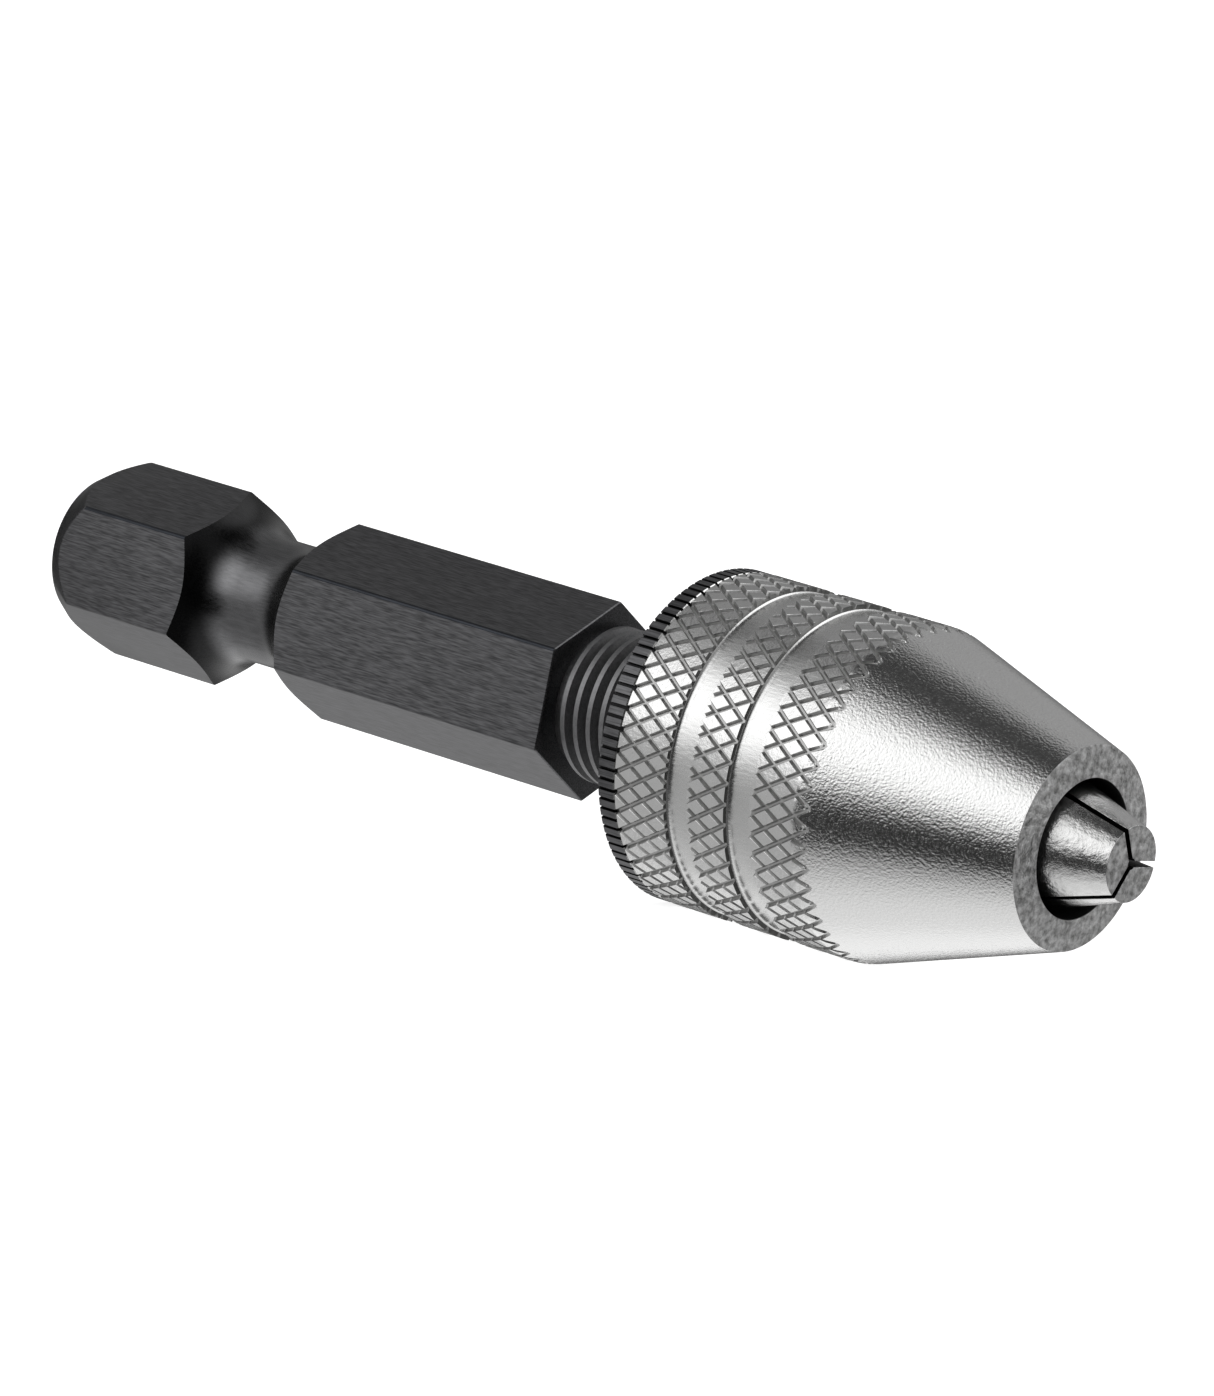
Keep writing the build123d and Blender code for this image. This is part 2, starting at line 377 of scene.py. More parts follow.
def make_shank():
    """Hex bar, ball groove, thread and bore, as one piece."""
    bm = bmesh.new()
    angles = shank_angles()
    columns = [[bm.verts.new(on_axis(x, r, a)) for x, r in shank_profile(a)] for a in angles]
    for i, column in enumerate(columns):
        following = columns[(i + 1) % len(columns)]
        for k in range(len(column) - 1):
            bm.faces.new((column[k], column[k + 1], following[k + 1], following[k]))
    bm.faces.new([column[0] for column in columns])

    columns = [[bm.verts.new(on_axis(x, r, a)) for x, r in thread_points(a)] for a in angles]
    for i, column in enumerate(columns):
        last = i + 1 == len(columns)
        following = columns[0][4:] if last else columns[i + 1]
        for k in range(len(following) - 1):
            bm.faces.new((column[k], column[k + 1], following[k + 1], following[k]))

    ring = add_ring(bm, THREAD_END, THREAD_MINOR, angles)
    front = [(SHANK_END, THREAD_MINOR - THREAD_BEVEL), (SHANK_END, BORE_RADIUS + BORE_EDGE)]
    bore = [
        (SHANK_END - BORE_EDGE, BORE_RADIUS),
        (BORE_BOTTOM, BORE_RADIUS),
        (BORE_POINT, BORE_POINT_RADIUS),
    ]
    ring = lathe(bm, ring, front + bore, angles)
    bm.faces.new(ring)
    for face in bm.faces:
        face.material_index = shank_slot(face)
    return finished("shank", bm)


# ---------------------------------------------------------------- sleeve

def outer_radius(x):
    """The sleeve's outside before it is knurled: a cylinder blended into the cone."""
    slope = (SLEEVE_RADIUS - NOSE_RADIUS) / (SLEEVE_FRONT - CONE_START)
    tilt = Vector((1, slope)).angle(Vector((1, 0)))
    reach = CONE_BLEND * tan(tilt / 2)
    if x <= CONE_START - reach:
        return SLEEVE_RADIUS
    if x >= CONE_START + reach * cos(tilt):
        return SLEEVE_RADIUS - slope * (x - CONE_START)
    along = x - (CONE_START - reach)
    return SLEEVE_RADIUS - CONE_BLEND + sqrt(CONE_BLEND ** 2 - along ** 2)


def family_place(x, angle):
    """Where a point lies across each family of grooves. A whole number is a groove's middle."""
    around = (angle - KNURL_ANGLE) / 360 * KNURL_COUNT
    along = (x - KNURL_X) / KNURL_LEAD
    return around + along, around - along


def knurl_pitch():
    """The distance between neighbouring parallel grooves, square to them."""
    around = 2 * pi * SLEEVE_RADIUS / KNURL_COUNT
    return 1 / sqrt(1 / around ** 2 + 1 / KNURL_LEAD ** 2)


def groove_depth(place):
    """How deep one family's groove is at this place across it."""
    off = abs(place - round(place)) * knurl_pitch()
    if off >= GROOVE_TOP_HALF:
        rest = min(1, (off - GROOVE_TOP_HALF) / EDGE_BREAK)
        return EDGE_BREAK * (1 - rest)
    share = (GROOVE_TOP_HALF - off) / (GROOVE_TOP_HALF - GROOVE_BOTTOM_HALF)
    return EDGE_BREAK + (KNURL_DEPTH - EDGE_BREAK) * min(1, share)


def knurled_point(x, angle):
    """The point of the knurled outside at this place and angle."""
    deep = max(groove_depth(place) for place in family_place(x, angle))
    return on_axis(x, min(outer_radius(x), SLEEVE_RADIUS - deep), angle)


def knurl_lines():
    """Where the mesh lines lie in one groove spacing: floor, wall, broken edge and top."""
    pitch = knurl_pitch()
    bottom = GROOVE_BOTTOM_HALF / pitch
    top = GROOVE_TOP_HALF / pitch
    edge = (GROOVE_TOP_HALF + EDGE_BREAK) / pitch
    return [-bottom, bottom, top, edge, 0.5, 1 - edge, 1 - top, 1 - bottom]


def unrolled_knurl(x_from, x_to):
    """The knurl's mesh lines laid flat, with degrees about the axis as Y, past both ends."""
    lines = knurl_lines()
    step = 360 / KNURL_COUNT
    flat = bmesh.new()
    first = int((x_from - KNURL_X) / KNURL_LEAD * 2) - 2
    last = int((x_to - KNURL_X) / KNURL_LEAD * 2) + 3
    for column in range(first, last):
        for i in range(KNURL_COUNT):
            grid = []
            for u in lines:
                row = []
                for v in lines:
                    around = ((i + u) + (i - column + v)) / 2
                    along = ((i + u) - (i - column + v)) / 2
                    row.append(flat.verts.new((KNURL_X + KNURL_LEAD * along, around * step, 0)))
                grid.append(row)
            for j in range(len(lines) - 1):
                for k in range(len(lines) - 1):
                    flat.faces.new((grid[j][k], grid[j][k + 1], grid[j + 1][k + 1], grid[j + 1][k]))
    bmesh.ops.remove_doubles(flat, verts=flat.verts, dist=WELD_DISTANCE / 2)
    return flat


def knurl_band(bm, x_from, x_to):
    """One band of knurl, cut square at both ends and open there."""
    flat = unrolled_knurl(x_from, x_to)
    cuts = [x_from, x_to] + (BLEND_CUTS if x_to > CONE_START else [])
    for x in cuts:
        whole = flat.verts[:] + flat.edges[:] + flat.faces[:]
        bmesh.ops.bisect_plane(
            flat, geom=whole, dist=1e-5, plane_co=(x, 0, 0), plane_no=(1, 0, 0),
            clear_outer=x == x_to, clear_inner=x == x_from,
        )
    for face in flat.faces:
        centre = face.calc_center_median()
        deep = max(groove_depth(place) for place in family_place(centre.x, centre.y + KNURL_ANGLE))
        cut = EDGE_BREAK < deep and SLEEVE_RADIUS - deep < outer_radius(centre.x)
        plain = CONE_FACES if centre.x > CONE_START else OUTSIDE_FACES
        # Faces cut into the grooves take the painted-shade groove metal
        face.material_index = SHADED_GROOVE_FACES if cut else plain
    for vertex in flat.verts:
        vertex.co = knurled_point(vertex.co.x, vertex.co.y + KNURL_ANGLE)
    bmesh.ops.remove_doubles(flat, verts=flat.verts, dist=WELD_DISTANCE)
    made = bpy.data.meshes.new("band")
    flat.to_mesh(made)
    flat.free()
    bm.from_mesh(made)
    bpy.data.meshes.remove(made)


def open_ring(bm, x):
    """The open edge's vertices at this place along the axis."""
    found = set()
    for edge in bm.edges:
        if edge.is_boundary and all(abs(v.co.x - x) < PLANE_DISTANCE for v in edge.verts):
            found.update(edge.verts)
    return sorted(found, key=angle_of)


def dropped_ring(bm, ring, r):
    """A copy of a ring moved straight in to a radius, joined to it by a wall."""
    lower = [bm.verts.new(on_axis(v.co.x, r, angle_of(v))) for v in ring]
    # The wall gets painted shade
    join_rings(bm, ring, lower, SHADED_WALL_FACES)
    return lower


def add_ring_grooves(bm):
    """The two plain grooves that part the bands of knurl."""
    floor = SLEEVE_RADIUS - RING_DEPTH
    for (_, rear), (front, _) in zip(KNURL_BANDS, KNURL_BANDS[1:]):
        rear_ring = dropped_ring(bm, open_ring(bm, rear), floor + RING_FILLET[0][1])
        around = [angle_of(v) for v in rear_ring]
        hollow = [(rear + along, floor + height) for along, height in RING_FILLET[1:]]
        rear_ring = lathe(bm, rear_ring, hollow, around, RING_FACES)
        front_ring = dropped_ring(bm, open_ring(bm, front), floor)
        zip_rings(bm, rear_ring, front_ring, RING_FACES)


def add_cone(bm, angles):
    """The plain cone in front of the last band of knurl. Returns its front ring."""
    band_end = KNURL_BANDS[-1][1]
    start = band_end + CONE_MARGIN
    run = SLEEVE_FRONT - NOSE_CROWN - NOSE_EDGE - start
    places = [start + run * i / CONE_RINGS for i in range(CONE_RINGS + 1)]
    ring = add_ring(bm, start, outer_radius(start), angles)
    zip_rings(bm, open_ring(bm, band_end), ring, CONE_FACES)
    return lathe(bm, ring, [(x, outer_radius(x)) for x in places[1:]], angles, CONE_FACES)


def nose_point(part):
    """The (x, r) point this part of the way in across the nose face, which slopes a little."""
    run = NOSE_RADIUS - MOUTH_RADIUS - 2 * NOSE_EDGE
    return (SLEEVE_FRONT - NOSE_CROWN * (1 - part), NOSE_RADIUS - NOSE_EDGE - run * part)


def make_sleeve():
    """The nose shell with its knurl, ring grooves, cone, nose face and inside."""
    bm = bmesh.new()
    for x_from, x_to in KNURL_BANDS:
        knurl_band(bm, x_from, x_to)
    add_ring_grooves(bm)
    angles = [360 * i / ROUND_STEPS for i in range(ROUND_STEPS)]
    ring = add_cone(bm, angles)
    nose = [nose_point(i / NOSE_RINGS) for i in range(NOSE_RINGS + 1)]
    ring = lathe(bm, ring, nose, angles, FRONT_FACES)
    inside = [
        (SLEEVE_FRONT - NOSE_EDGE, MOUTH_RADIUS),
        (MOUTH_START, MOUTH_RADIUS),
        (CAVITY_END, CAVITY_RADIUS),
        (SLEEVE_REAR, CAVITY_RADIUS),
        (SLEEVE_REAR, SLEEVE_RADIUS - SEAM_INNER),
    ]
    ring = lathe(bm, ring, inside, angles, SHADED_INSIDE_FACES)
    knurl_end = open_ring(bm, KNURL_BANDS[0][0])
    places = [(v.co.yz.length - REAR_BEVEL, angle_of(v)) for v in knurl_end]
    rear_edge = [bm.verts.new(on_axis(SLEEVE_REAR, r, angle)) for r, angle in places]
    join_rings(bm, knurl_end, rear_edge, OUTSIDE_FACES)
    zip_rings(bm, ring, dropped_ring(bm, rear_edge, SLEEVE_RADIUS - SEAM_OUTER))
    return finished("knurled_sleeve", bm)


# ---------------------------------------------------------------- rear nut

def nut_slot(face):
    """The material slot of a face of the nut's rim, from where it lies."""
    centre = face.calc_center_median()
    # The rim's front outer edge is a painted highlight, in bright satin steel
    if centre.x > SLEEVE_REAR - NUT_EDGE and centre.yz.length > RIM_RADIUS - NUT_EDGE:
        return HIGHLIGHT_EDGE_FACES
    # A face down in a slot gets painted shade
    inside_rim = NUT_REAR < centre.x < SLEEVE_REAR - 2 * RIM_GAP
    return SHADED_SLOT_FACES if inside_rim and centre.yz.length < RIM_RADIUS - SLOT_SHADE else RIM_FACES


def make_nut():
    """The rear nut: slotted rim, bore and the hub pressed into the sleeve."""
    bm = bmesh.new()
    pitch = 360 / RIM_SLOTS
    half = degrees(SLOT_HALF / RIM_RADIUS)
    offsets = [-half - SLOT_WALL_TURN, -half, half, half + SLOT_WALL_TURN, pitch / 2]
    angles = [KNURL_ANGLE + slot * pitch + off for slot in range(RIM_SLOTS) for off in offsets]
    sunk = [False, True, True, False, False] * RIM_SLOTS

    def slotted(x, r):
        low = RIM_RADIUS - SLOT_DEPTH
        return [bm.verts.new(on_axis(x, min(r, low) if s else r, a)) for a, s in zip(angles, sunk)]

    rim = [
        (NUT_REAR, RIM_RADIUS - RIM_REACH),
        (NUT_REAR, RIM_RADIUS - NUT_EDGE),
        (NUT_REAR + NUT_EDGE, RIM_RADIUS),
        (SLEEVE_REAR - NUT_EDGE, RIM_RADIUS),
        (SLEEVE_REAR - RIM_GAP, RIM_RADIUS - NUT_EDGE),
        (SLEEVE_REAR - RIM_GAP, RIM_RADIUS - RIM_REACH),
    ]
    rings = [slotted(x, r) for x, r in rim]
    for ring, following in zip(rings, rings[1:]):
        join_rings(bm, ring, following)
    for face in bm.faces:
        face.material_index = nut_slot(face)
    hub_radius = CAVITY_RADIUS - HUB_CLEARANCE
    mouth = NUT_BORE + NUT_BEVEL
    hub = [
        (SLEEVE_REAR, hub_radius),
        (NUT_FRONT - NUT_BEVEL, hub_radius),
        (NUT_FRONT, hub_radius - NUT_BEVEL),
        (NUT_FRONT, mouth),
        (NUT_FRONT - NUT_BEVEL, NUT_BORE),
        (NUT_REAR + NUT_BEVEL, NUT_BORE),
        (NUT_REAR, mouth),
    ]
    ring = lathe(bm, rings[-1], hub, angles)
    rear_face = [(NUT_REAR, mouth + NUT_FACE_RUN * step / 3) for step in (1, 2)]
    ring = lathe(bm, ring, rear_face, angles)
    join_rings(bm, ring, rings[0])
    return finished("slotted_nut", bm)


# ---------------------------------------------------------------- jaws

def jaw_profile(inner, trim):
    """(x, r) points round a jaw from inner at the rear to inner at the front, trimmed all round."""
    cone_start = JAW_FRONT - (JAW_REAR_RADIUS - JAW_TIP_RADIUS) / CONE_SLOPE
    back = JAW_REAR + trim
    front = JAW_FRONT - trim
    wide = JAW_REAR_RADIUS - trim
    tip = JAW_TIP_RADIUS - trim
    cone_run = front - cone_start
    rear = [(back, inner), (back, wide - JAW_REAR_EDGE), (JAW_REAR + JAW_REAR_EDGE, wide)]
    cone = [(cone_start + cone_run * part, wide + (tip - wide) * part) for part in (0, 0.3, 0.6, 0.8)]
    edge = [(front - JAW_EDGE, tip + JAW_EDGE * CONE_SLOPE), (front, tip - JAW_EDGE)]
    face = [(front, tip - JAW_EDGE - (tip - JAW_EDGE - inner) * part) for part in (0.25, 0.5, 0.75, 1)]
    return rear + cone + edge + face


def jaw_slot(segment, count):
    """The material slot of a segment of the jaw's profile. Its edge and front face are the last six."""
    if segment >= count - 6:
        return FRONT_FACES
    return OUTSIDE_FACES if segment >= 2 else SHADED_INSIDE_FACES


def jaw_column(bm, turn, trim, inset):
    """The profile's vertices at one angle, in degrees from the jaw's middle, moved in from its side."""
    away = radians(turn)
    inner = sqrt(GRIP_RADIUS ** 2 - (JAW_OFFSET * sin(away)) ** 2) - JAW_OFFSET * cos(away)
    out = Vector((0, -sin(away), cos(away)))
    inward = Vector((0, cos(away), sin(away))) * (inset if turn > 0 else -inset)
    base = Vector((0, 0, JAW_OFFSET)) + inward
    return [bm.verts.new(Vector((x, 0, 0)) + base + out * r) for x, r in jaw_profile(inner, trim)]


def spring_hole(bm, side, rim_edges):
    """A blind hole square to a side face, and the side face filled in around it."""
    half = radians(JAW_HALF)
    along = Vector((0, -side * sin(half), cos(half)))
    outward = Vector((0, -side * cos(half), -sin(half)))
    middle = Vector((SPRING_X, 0, JAW_OFFSET)) + along * HOLE_OUT - outward * JAW_RELIEF
    turns = [2 * pi * i / HOLE_SIDES for i in range(HOLE_SIDES)]
    offsets = [(Vector((cos(turn), 0, 0)) + along * sin(turn)) * HOLE_RADIUS for turn in turns]
    rim, floor = [
        [bm.verts.new(middle + offset - outward * depth) for offset in offsets] for depth in (0, HOLE_DEPTH)
    ]
    join_rings(bm, rim, floor, SHADED_INSIDE_FACES)
    bm.faces.new(floor).material_index = SHADED_INSIDE_FACES
    mouth = [bm.edges.get(pair) for pair in zip(rim, rim[1:] + rim[:1])]
    filled = bmesh.ops.triangle_fill(bm, use_beauty=True, edges=rim_edges + mouth)
    for face in (part for part in filled["geom"] if isinstance(part, bmesh.types.BMFace)):
        face.material_index = SHADED_INSIDE_FACES


def make_jaw(number, angle):
    """A jaw: a third of a pointed cone set off the axis, with softened edges and two spring holes."""
    bm = bmesh.new()
    side = (JAW_EDGE, JAW_RELIEF)
    side_edge = (0, JAW_RELIEF + JAW_EDGE)
    first = 2 * JAW_TURN - JAW_HALF
    columns = [jaw_column(bm, -JAW_HALF, *side), jaw_column(bm, -JAW_HALF, *side_edge)]
    columns += [jaw_column(bm, turn, 0, 0) for turn in range(first, 1 - first, JAW_TURN)]
    columns += [jaw_column(bm, JAW_HALF, *side_edge), jaw_column(bm, JAW_HALF, *side)]
    count = len(columns[0])
    for column, following in zip(columns, columns[1:]):
        for k in range(count):
            j = (k + 1) % count
            face = bm.faces.new((column[k], column[j], following[j], following[k]))
            face.material_index = SHADED_INSIDE_FACES if j == 0 else jaw_slot(k, count)
    for sign, column in ((-1, columns[0]), (1, columns[-1])):
        edges = [bm.edges.get(pair) for pair in zip(column, column[1:] + column[:1])]
        spring_hole(bm, sign, edges)
    for vertex in bm.verts:
        vertex.co = Matrix.Rotation(radians(angle), 3, "X") @ vertex.co
    return finished(f"gripping_jaw_{number}", bm)


# ---------------------------------------------------------------- jaw springs

def make_spring(number, angle):
    """A coil spring between two jaws, with closed ends, lying along -Y at the top before it is turned."""
    bm = bmesh.new()
    side = Vector((0, 1, 0))
    count = SPRING_TURNS * SPRING_TURN_STEPS
    rings = []
    for i in range(count + 1):
        part = i / count
        # The rise eases off towards both ends, so the end turns lie close, as on a real spring
        rise = (0.5 - 0.5 * cos(pi * part)) ** SPRING_EASE
        along = SPRING_SPAN * (0.5 - rise)
        turn = 2 * pi * SPRING_TURNS * part
        outward = Vector((cos(turn), 0, sin(turn)))
        centre = Vector((SPRING_X, along, SPRING_OUT)) + outward * SPRING_RADIUS
        ring = []
        for k in range(SPRING_WIRE_SIDES):
            around = 2 * pi * k / SPRING_WIRE_SIDES
            offset = (outward * cos(around) + side * sin(around)) * SPRING_WIRE
            ring.append(bm.verts.new(centre + offset))
        rings.append(ring)
    for ring, following in zip(rings, rings[1:]):
        join_rings(bm, ring, following)
    bm.faces.new(rings[0])
    bm.faces.new(rings[-1])
    for vertex in bm.verts:
        vertex.co = Matrix.Rotation(radians(angle), 3, "X") @ vertex.co
    return finished(f"coil_{number}", bm, smooth_angle=60)


# ---------------------------------------------------------------- materials

# The part of the noise's range over which a metal's tone and roughness change
TONE_RANGE = (0.32, 0.68)
ROUGHNESS_RANGE = (0.3, 0.7)


def new_material(name):
    """An empty node material with its Principled shader."""
    material = bpy.data.materials.new(name)
    material.use_nodes = True
    return material, material.node_tree.nodes, material.node_tree.links


def layered_noise(nodes, links, grain):
    """The sum of a metal's layers of grain, from 0 to 1."""
    place = nodes.new("ShaderNodeTexCoord")
    total = None
    for scale, stretch, share, detail in grain:
        mapping = nodes.new("ShaderNodeMapping")
        mapping.inputs["Scale"].default_value = (scale / stretch, scale, scale)
        links.new(place.outputs["Object"], mapping.inputs["Vector"])
        noise = nodes.new("ShaderNodeTexNoise")
        noise.inputs["Scale"].default_value = 1.0
        noise.inputs["Detail"].default_value = detail
        links.new(mapping.outputs["Vector"], noise.inputs["Vector"])
        scaled = nodes.new("ShaderNodeMath")
        scaled.operation = "MULTIPLY"
        scaled.inputs[1].default_value = share
        links.new(noise.outputs["Fac"], scaled.inputs[0])
        if total is None:
            total = scaled.outputs[0]
        else:
            added = nodes.new("ShaderNodeMath")
            added.operation = "ADD"
            links.new(total, added.inputs[0])
            links.new(scaled.outputs[0], added.inputs[1])
            total = added.outputs[0]
    return total


def metal(name, colour, roughness, grain, bump, bump_distance, spread, tone):
    """A metal whose grain moves its tone, roughness and relief.

    A layer of grain is (scale, stretch along the axis, share, detail). Spread is how far the
    roughness goes each way, tone is the part of the colour that it goes each way, and the
    bump's distance is in millimetres.
    """
    material, nodes, links = new_material(name)
    shader = nodes["Principled BSDF"]
    shader.inputs["Metallic"].default_value = 1.0
    total = layered_noise(nodes, links, grain)
    ramp = nodes.new("ShaderNodeValToRGB")
    shades = ([c * (1 - tone) for c in colour], [min(1, c * (1 + tone)) for c in colour])
    for element, position, shade in zip(ramp.color_ramp.elements, TONE_RANGE, shades):
        element.position = position
        element.color = (*shade, 1)
    links.new(total, ramp.inputs["Fac"])
    links.new(ramp.outputs["Color"], shader.inputs["Base Color"])
    rough = nodes.new("ShaderNodeMapRange")
    rough.inputs["From Min"].default_value, rough.inputs["From Max"].default_value = ROUGHNESS_RANGE
    rough.inputs["To Min"].default_value = roughness - spread
    rough.inputs["To Max"].default_value = roughness + spread
    links.new(total, rough.inputs["Value"])
    links.new(rough.outputs["Result"], shader.inputs["Roughness"])
    relief = nodes.new("ShaderNodeBump")
    relief.inputs["Strength"].default_value = bump
    relief.inputs["Distance"].default_value = bump_distance * MM
    links.new(total, relief.inputs["Height"])
    links.new(relief.outputs["Normal"], shader.inputs["Normal"])
    return material


def paint_flank_shade(material):
    """Paint shade into a turned metal's colour up both flanks of the ball groove."""
    nodes, links = material.node_tree.nodes, material.node_tree.links
    shader = nodes["Principled BSDF"]
    plain = shader.inputs["Base Color"].links[0].from_socket
    split = nodes.new("ShaderNodeSeparateXYZ")
    links.new(nodes["Texture Coordinate"].outputs["Object"], split.inputs[0])
    away = nodes.new("ShaderNodeMath")
    away.operation = "SUBTRACT"
    away.inputs[1].default_value = GROOVE_CENTRE * MM
    links.new(split.outputs["X"], away.inputs[0])
    distance = nodes.new("ShaderNodeMath")
    distance.operation = "ABSOLUTE"
    links.new(away.outputs[0], distance.inputs[0])
    share = nodes.new("ShaderNodeMapRange")
    share.interpolation_type = "SMOOTHSTEP"
    share.inputs["From Min"].default_value = FLANK_SHADE_START * MM
    share.inputs["From Max"].default_value = FLANK_SHADE_END * MM
    share.inputs["To Min"].default_value = 1.0
    share.inputs["To Max"].default_value = FLANK_SHADE_SHARE
    links.new(distance.outputs[0], share.inputs["Value"])
    mix = nodes.new("ShaderNodeMix")
    mix.data_type = "RGBA"
    mix.blend_type = "MULTIPLY"
    mix.inputs["Factor"].default_value = 1.0
    links.new(plain, mix.inputs["A"])
    links.new(share.outputs["Result"], mix.inputs["B"])
    links.new(mix.outputs["Result"], shader.inputs["Base Color"])


def dress(piece, slot, *materials):
    """Give a piece its materials. The slot, a finish's name, is not used."""
    filled = piece.data.materials
    for index, material in enumerate(materials):
        if index < len(filled):
            filled[index] = material
        else:
            filled.append(material)


black_steel = metal(
    "black_steel", (0.135, 0.135, 0.14), 0.38,
    grain=((21000, 12, 0.85, 1.5), (9000, 9, 0.15, 1.0)),
    bump=0.4, bump_distance=0.006, spread=0.05, tone=0.42,
)
# Painted shade: a near-black, bluish copy of the black steel on every other rounded corner of the hexagon
corner_shade_black = metal(
    "corner_shade_black", (0.04, 0.043, 0.05), 0.32,
    grain=((9000, 8, 0.7, 3.0), (30000, 2, 0.3, 2.0)),
    bump=0.3, bump_distance=0.004, spread=0.05, tone=0.3,
)
black_turned = metal(
    "black_turned", (0.155, 0.155, 0.16), 0.28,
    grain=((14000, 8, 0.8, 1.0), (5000, 3, 0.2, 1.0)),
    bump=0.2, bump_distance=0.004, spread=0.04, tone=0.15,
)
# Painted shade up the ball groove's flanks
paint_flank_shade(black_turned)
# Painted light: a lighter copy of the black steel on the thread
lit_black_thread = metal(
    "lit_black_thread", (0.24, 0.24, 0.245), 0.46,
    grain=((14000, 0.3, 0.6, 2.0), (5000, 1, 0.4, 2.0)),
    bump=0.3, bump_distance=0.004, spread=0.05, tone=0.25,
)
black_nut = metal(
    "black_nut", (0.14, 0.14, 0.145), 0.42,
    grain=((20000, 20, 0.8, 2.0), (2500, 1, 0.2, 2.0)),
    bump=0.6, bump_distance=0.008, spread=0.05, tone=0.4,
)
# Painted shade: near-black in the slots of the nut's rim
slot_shade_black = metal(
    "slot_shade_black", (0.025, 0.025, 0.026), 0.5,
    grain=((20000, 4, 1.0, 2.0),),
    bump=0.2, bump_distance=0.004, spread=0.05, tone=0.3,
)
satin_steel = metal(
    "satin_steel", (0.74, 0.74, 0.735), 0.15,
    grain=((6500, 1, 0.7, 3.0), (20000, 1, 0.3, 2.0)),
    bump=1.0, bump_distance=0.015, spread=0.04, tone=0.03,
)
cone_steel = metal(
    "cone_steel", (0.72, 0.72, 0.715), 0.2,
    grain=((10500, 1, 0.85, 1.5), (20000, 1, 0.15, 1.0)),
    bump=1.0, bump_distance=0.02, spread=0.05, tone=0.03,
)
ring_steel = metal(
    "ring_steel", (0.72, 0.72, 0.715), 0.26,
    grain=((9000, 3, 0.7, 3.0), (20000, 1, 0.3, 2.0)),
    bump=1.0, bump_distance=0.01, spread=0.05, tone=0.05,
)
# Painted shade: a darker copy of the sleeve steel in the knurl's grooves, and rougher, which is real
groove_shade_steel = metal(
    "groove_shade_steel", (0.5, 0.5, 0.495), 0.42,
    grain=((9000, 1, 0.6, 3.0), (25000, 1, 0.4, 2.0)),
    bump=0.5, bump_distance=0.01, spread=0.08, tone=0.12,
)
# Painted shade: a darker copy of the sleeve steel on the ring grooves' walls and the sleeve's rear face
wall_shade_steel = metal(
    "wall_shade_steel", (0.28, 0.28, 0.275), 0.36,
    grain=((9000, 1, 0.6, 3.0), (25000, 1, 0.4, 2.0)),
    bump=0.5, bump_distance=0.01, spread=0.08, tone=0.12,
)
blasted_face = metal(
    "blasted_face", (0.98, 0.975, 0.965), 0.36,
    grain=((4400, 0.7, 0.8, 3.0), (14000, 1, 0.2, 2.0)),
    bump=1.0, bump_distance=0.08, spread=0.08, tone=0.7,
)
# Painted shade: near-black steel inside the sleeve
inside_shade_steel = metal(
    "inside_shade_steel", (0.12, 0.12, 0.12), 0.4,
    grain=((5000, 1, 0.6, 3.0), (15000, 1, 0.4, 3.0)),
    bump=0.3, bump_distance=0.006, spread=0.05, tone=0.1,
)
jaw_steel = metal(
    "jaw_steel", (0.66, 0.66, 0.655), 0.22,
    grain=((4500, 1.3, 0.75, 2.0), (18000, 1, 0.25, 3.0)),
    bump=1.0, bump_distance=0.035, spread=0.04, tone=0.05,
)
# Painted shade: near-black on the jaws' rear, inner and side faces and in their spring holes
jaw_side_shade = metal(
    "jaw_side_shade", (0.03, 0.03, 0.03), 0.5,
    grain=((12000, 1, 1.0, 2.0),),
    bump=0.3, bump_distance=0.004, spread=0.05, tone=0.2,
)
bright_steel = metal(
    "bright_steel", (0.6, 0.6, 0.6), 0.25,
    grain=((9000, 0.2, 0.7, 3.0), (3000, 1, 0.3, 2.0)),
    bump=0.3, bump_distance=0.004, spread=0.05, tone=0.08,
)
spring_wire = metal(
    "spring_wire", (0.4, 0.4, 0.41), 0.28,
    grain=((12000, 1, 0.6, 2.0), (30000, 1, 0.4, 2.0)),
    bump=0.2, bump_distance=0.003, spread=0.05, tone=0.1,
)


# ---------------------------------------------------------------- the pieces

shank = make_shank()
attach(shank, "shank")
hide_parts("hex_shank")
dress(shank, "black_steel", black_steel, corner_shade_black, black_turned, lit_black_thread)

knurled_sleeve = make_sleeve()
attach(knurled_sleeve, "sleeve")
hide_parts("sleeve")
sleeve_metals = (satin_steel, blasted_face, inside_shade_steel, groove_shade_steel, cone_steel, ring_steel, wall_shade_steel)
dress(knurled_sleeve, "satin_steel", *sleeve_metals)

slotted_nut = make_nut()
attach(slotted_nut, "sleeve")
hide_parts("rear_nut")
# The third metal, satin steel on the rim's front edge, is a painted highlight
dress(slotted_nut, "black_nut", black_nut, slot_shade_black, satin_steel)

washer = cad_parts["thrust_washer"]
dress(washer, "bright_steel", bright_steel)

for number, angle in enumerate(JAW_ANGLES, start=1):
    jaw = make_jaw(number, angle)
    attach(jaw, f"jaw_{number}")
    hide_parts(f"jaw_{number}")
    dress(jaw, "jaw_steel", jaw_steel, blasted_face, jaw_side_shade)
    gap = angle + JAW_HALF
    coil = make_spring(number, gap)
    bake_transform(coil)
    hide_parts(f"jaw_spring_{number}")
    dress(coil, "spring_wire", spring_wire)


# ---------------------------------------------------------------- floor, light and camera

